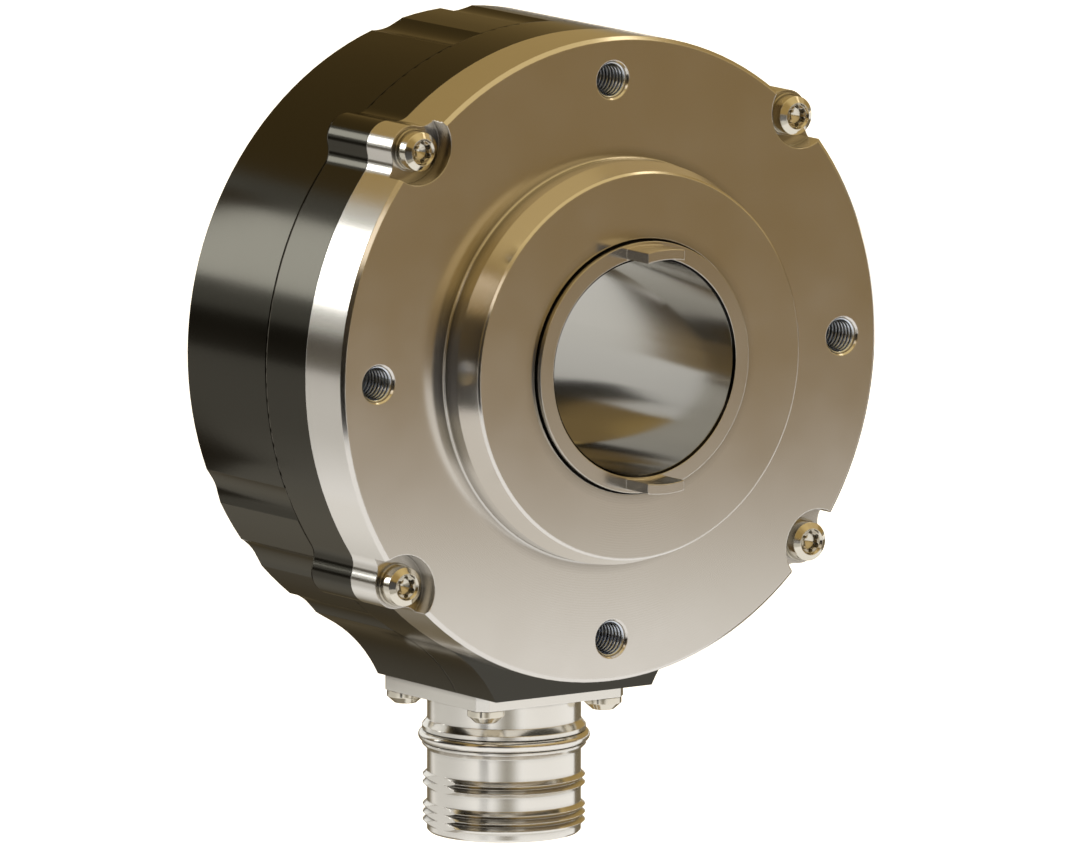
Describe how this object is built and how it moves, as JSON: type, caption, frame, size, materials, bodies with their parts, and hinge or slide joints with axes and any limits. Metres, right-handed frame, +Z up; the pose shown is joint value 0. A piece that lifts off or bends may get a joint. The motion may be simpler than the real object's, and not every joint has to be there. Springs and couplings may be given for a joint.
{
  "type": "incremental rotary encoder",
  "caption": "Hollow shaft incremental rotary encoder: round flange with pilot boss and tapped holes, dark drum housing, drive tabs on the shaft, threaded round connector pointing down.",
  "frame": {"origin": "centre of the tapped hole circle, where the shaft axis meets the front face of the flange", "axes": "+Z up, away from the connector; the shaft axis is Y, with the boss and the drive tabs towards -Y and the housing towards +Y"},
  "size_m": [0.09, 0.0524, 0.1147],
  "materials": {
    "plated_flange": "fine turned, bright nickel plated aluminium",
    "dark_housing": "dark bronze-black anodised, glossy",
    "plated_connector": "nickel plated brass, polished",
    "steel_screws": "stainless steel, bright",
    "ground_steel": "ground and honed stainless steel",
    "spring_steel": "phosphated spring steel",
    "turned_aluminium": "turned",
    "cage_brass": "pressed brass",
    "standoff_brass": "turned brass",
    "seal_rubber": "moulded nitrile rubber",
    "board_laminate": "green solder mask on glass laminate",
    "black_plastic": "moulded black plastic",
    "optic_glass": "polished optical glass",
    "led_plastic": "tinted moulded epoxy",
    "gold_contacts": "gold plated contacts",
    "wire_jacket": "extruded wire jacket"
  },
  "bodies": {
    "housing": {"front_flange": "plated_flange", "housing_front": "dark_housing", "housing_rear": "dark_housing", "flange_oring": "seal_rubber", "flange_screws": "steel_screws", "flange_screw_washers": "steel_screws", "rear_housing_screws": "steel_screws", "front_shaft_seal": "seal_rubber", "rear_shaft_seal": "seal_rubber", "front_bearing_outer_ring": "ground_steel", "rear_bearing_outer_ring": "ground_steel", "bearing_shields": "ground_steel", "outer_bearing_spacer": "turned_aluminium", "housing_circlip": "spring_steel", "board_standoffs": "standoff_brass", "sensor_board": "board_laminate", "board_screws": "steel_screws", "board_chips": "black_plastic", "board_header": "black_plastic", "optical_head": "black_plastic", "light_source": "led_plastic", "collimator_lens": "optic_glass", "scanning_reticle": "optic_glass", "photo_sensor": "black_plastic", "optical_head_screws": "steel_screws", "connector_shell": "plated_connector", "connector_sealing_ring": "plated_connector", "connector_tube_oring": "seal_rubber", "connector_insert": "black_plastic", "contact_pins": "gold_contacts", "connector_wires": "wire_jacket", "connector_screws": "steel_screws"},
    "shaft": {"hollow_shaft": "ground_steel", "front_bearing_inner_ring": "ground_steel", "rear_bearing_inner_ring": "ground_steel", "inner_bearing_spacer": "turned_aluminium", "shaft_circlips": "spring_steel", "disc_hub": "turned_aluminium", "code_disc": "optic_glass", "disc_clamp_ring": "turned_aluminium", "disc_screws": "steel_screws"},
    "front_ball_set": {"front_bearing_balls": "ground_steel", "front_bearing_cage": "cage_brass"},
    "rear_ball_set": {"rear_bearing_balls": "ground_steel", "rear_bearing_cage": "cage_brass"}
  },
  "joints": [
    {"name": "shaft_spin", "type": "hinge", "parent": "housing", "child": "shaft", "pos_m": [0, 0, 0], "axis": [0, 1, 0], "continuous": true},
    {"name": "front_ball_set_spin", "type": "hinge", "parent": "housing", "child": "front_ball_set", "pos_m": [0, 0.0039, 0], "axis": [0, 1, 0], "continuous": true},
    {"name": "rear_ball_set_spin", "type": "hinge", "parent": "housing", "child": "rear_ball_set", "pos_m": [0, 0.0149, 0], "axis": [0, 1, 0], "continuous": true}
  ],
  "couplings": [
    {"joint": "front_ball_set_spin", "follows": "shaft_spin", "ratio": 0.4512},
    {"joint": "rear_ball_set_spin", "follows": "shaft_spin", "ratio": 0.4512}
  ]
}
